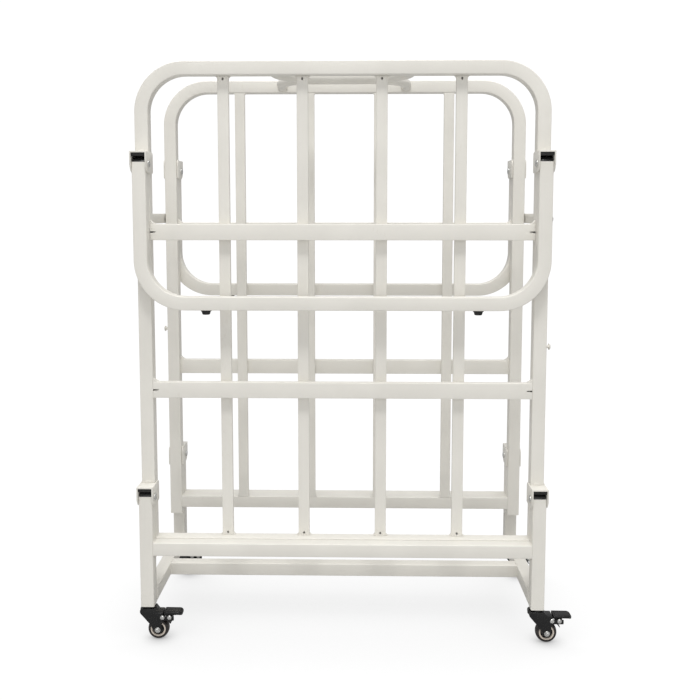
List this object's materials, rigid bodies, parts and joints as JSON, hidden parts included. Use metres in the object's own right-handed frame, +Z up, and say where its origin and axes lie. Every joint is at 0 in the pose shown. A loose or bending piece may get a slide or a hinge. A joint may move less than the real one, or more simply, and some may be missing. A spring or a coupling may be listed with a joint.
{
  "type": "folding cot",
  "caption": "Upright folded steel cot frame on braked casters, with hinged slatted decks, fold-out legs, side latches and bent handles.",
  "frame": {"origin": "centre of the footprint of the folded cot, on the floor under the wheels", "axes": "+X to the right along the width, +Y from the front deck to the rear deck, +Z up"},
  "size_m": [0.824, 0.324, 1.0862],
  "materials": {
    "white_paint": "satin white powder coat",
    "zinc_rivet": "bright zinc plated steel",
    "black_plastic": "black moulded nylon",
    "black_rubber": "matt black rubber",
    "grey_tyre": "dark tyre on a pale hub"
  },
  "bodies": {
    "base": {"base_brace": "white_paint", "front_left_leg": "white_paint", "front_right_leg": "white_paint", "front_leg_crossbar": "white_paint", "rear_left_leg": "white_paint", "rear_right_leg": "white_paint", "rear_leg_crossbar": "white_paint"},
    "front_deck": {"front_deck_frame": "white_paint", "front_lower_crossbar": "white_paint", "front_upper_crossbar": "white_paint", "front_slat_1": "white_paint", "front_slat_2": "white_paint", "front_slat_3": "white_paint", "front_slat_4": "white_paint", "front_handle": "white_paint", "front_left_lower_hinge_bracket": "white_paint", "front_left_lower_hinge_pin": "zinc_rivet", "front_left_upper_hinge_bracket": "white_paint", "front_left_upper_hinge_pin": "zinc_rivet", "front_right_lower_hinge_bracket": "white_paint", "front_right_lower_hinge_pin": "zinc_rivet", "front_right_upper_hinge_bracket": "white_paint", "front_right_upper_hinge_pin": "zinc_rivet"},
    "front_folding_leg": {"front_folding_leg": "white_paint", "front_left_foot": "black_rubber", "front_right_foot": "black_rubber"},
    "rear_deck": {"rear_deck_frame": "white_paint", "rear_lower_crossbar": "white_paint", "rear_upper_crossbar": "white_paint", "rear_slat_1": "white_paint", "rear_slat_2": "white_paint", "rear_slat_3": "white_paint", "rear_slat_4": "white_paint", "rear_handle": "white_paint", "rear_left_lower_hinge_bracket": "white_paint", "rear_left_lower_hinge_pin": "zinc_rivet", "rear_left_upper_hinge_bracket": "white_paint", "rear_left_upper_hinge_pin": "zinc_rivet", "rear_right_lower_hinge_bracket": "white_paint", "rear_right_lower_hinge_pin": "zinc_rivet", "rear_right_upper_hinge_bracket": "white_paint", "rear_right_upper_hinge_pin": "zinc_rivet"},
    "rear_folding_leg": {"rear_folding_leg": "white_paint", "rear_left_foot": "black_rubber", "rear_right_foot": "black_rubber"},
    "left_latch": {"left_latch": "white_paint"},
    "right_latch": {"right_latch": "white_paint"},
    "front_left_caster": {"front_left_caster_fork": "black_plastic"},
    "front_left_wheel": {"front_left_caster_wheel": "grey_tyre"},
    "front_left_pedal": {"front_left_brake_pedal": "black_plastic"},
    "front_right_caster": {"front_right_caster_fork": "black_plastic"},
    "front_right_wheel": {"front_right_caster_wheel": "grey_tyre"},
    "front_right_pedal": {"front_right_brake_pedal": "black_plastic"},
    "rear_left_caster": {"rear_left_caster_fork": "black_plastic"},
    "rear_left_wheel": {"rear_left_caster_wheel": "grey_tyre"},
    "rear_left_pedal": {"rear_left_brake_pedal": "black_plastic"},
    "rear_right_caster": {"rear_right_caster_fork": "black_plastic"},
    "rear_right_wheel": {"rear_right_caster_wheel": "grey_tyre"},
    "rear_right_pedal": {"rear_right_brake_pedal": "black_plastic"}
  },
  "joints": [
    {"name": "front_deck_fold", "type": "hinge", "parent": "base", "child": "front_deck", "pos_m": [-0.0215, -0.145, 0.2762], "axis": [1, 0, 0], "range_deg": [0, 90]},
    {"name": "front_leg_fold", "type": "hinge", "parent": "front_deck", "child": "front_folding_leg", "pos_m": [-0.0215, -0.145, 0.8992], "axis": [-1, 0, 0], "range_deg": [0, 90]},
    {"name": "rear_deck_fold", "type": "hinge", "parent": "base", "child": "rear_deck", "pos_m": [-0.0215, 0.145, 0.2762], "axis": [-1, 0, 0], "range_deg": [0, 90]},
    {"name": "rear_leg_fold", "type": "hinge", "parent": "rear_deck", "child": "rear_folding_leg", "pos_m": [-0.0215, 0.145, 0.8992], "axis": [1, 0, 0], "range_deg": [0, 90]},
    {"name": "left_latch_swing", "type": "hinge", "parent": "rear_deck", "child": "left_latch", "pos_m": [-0.406, 0.119, 0.7987], "axis": [-1, 0, 0], "range_deg": [-90, 15]},
    {"name": "right_latch_swing", "type": "hinge", "parent": "front_deck", "child": "right_latch", "pos_m": [0.363, -0.119, 0.7987], "axis": [1, 0, 0], "range_deg": [-90, 15]},
    {"name": "front_left_caster_swivel", "type": "hinge", "parent": "base", "child": "front_left_caster", "pos_m": [-0.39, -0.145, 0.0649], "axis": [0, 0, 1], "continuous": true},
    {"name": "front_left_wheel_spin", "type": "hinge", "parent": "front_left_caster", "child": "front_left_wheel", "pos_m": [-0.3715, -0.145, 0.02], "axis": [0, 1, 0], "continuous": true},
    {"name": "front_left_brake_press", "type": "hinge", "parent": "front_left_caster", "child": "front_left_pedal", "pos_m": [-0.3487, -0.145, 0.0447], "axis": [0, 1, 0], "range_deg": [0, 12]},
    {"name": "front_right_caster_swivel", "type": "hinge", "parent": "base", "child": "front_right_caster", "pos_m": [0.347, -0.145, 0.0649], "axis": [0, 0, 1], "continuous": true},
    {"name": "front_right_wheel_spin", "type": "hinge", "parent": "front_right_caster", "child": "front_right_wheel", "pos_m": [0.3655, -0.145, 0.02], "axis": [0, 1, 0], "continuous": true},
    {"name": "front_right_brake_press", "type": "hinge", "parent": "front_right_caster", "child": "front_right_pedal", "pos_m": [0.3883, -0.145, 0.0447], "axis": [0, 1, 0], "range_deg": [0, 12]},
    {"name": "rear_left_caster_swivel", "type": "hinge", "parent": "base", "child": "rear_left_caster", "pos_m": [-0.39, 0.145, 0.0649], "axis": [0, 0, 1], "continuous": true},
    {"name": "rear_left_wheel_spin", "type": "hinge", "parent": "rear_left_caster", "child": "rear_left_wheel", "pos_m": [-0.3715, 0.145, 0.02], "axis": [0, 1, 0], "continuous": true},
    {"name": "rear_left_brake_press", "type": "hinge", "parent": "rear_left_caster", "child": "rear_left_pedal", "pos_m": [-0.3487, 0.145, 0.0447], "axis": [0, 1, 0], "range_deg": [0, 12]},
    {"name": "rear_right_caster_swivel", "type": "hinge", "parent": "base", "child": "rear_right_caster", "pos_m": [0.347, 0.145, 0.0649], "axis": [0, 0, 1], "continuous": true},
    {"name": "rear_right_wheel_spin", "type": "hinge", "parent": "rear_right_caster", "child": "rear_right_wheel", "pos_m": [0.3655, 0.145, 0.02], "axis": [0, 1, 0], "continuous": true},
    {"name": "rear_right_brake_press", "type": "hinge", "parent": "rear_right_caster", "child": "rear_right_pedal", "pos_m": [0.3883, 0.145, 0.0447], "axis": [0, 1, 0], "range_deg": [0, 12]}
  ]
}
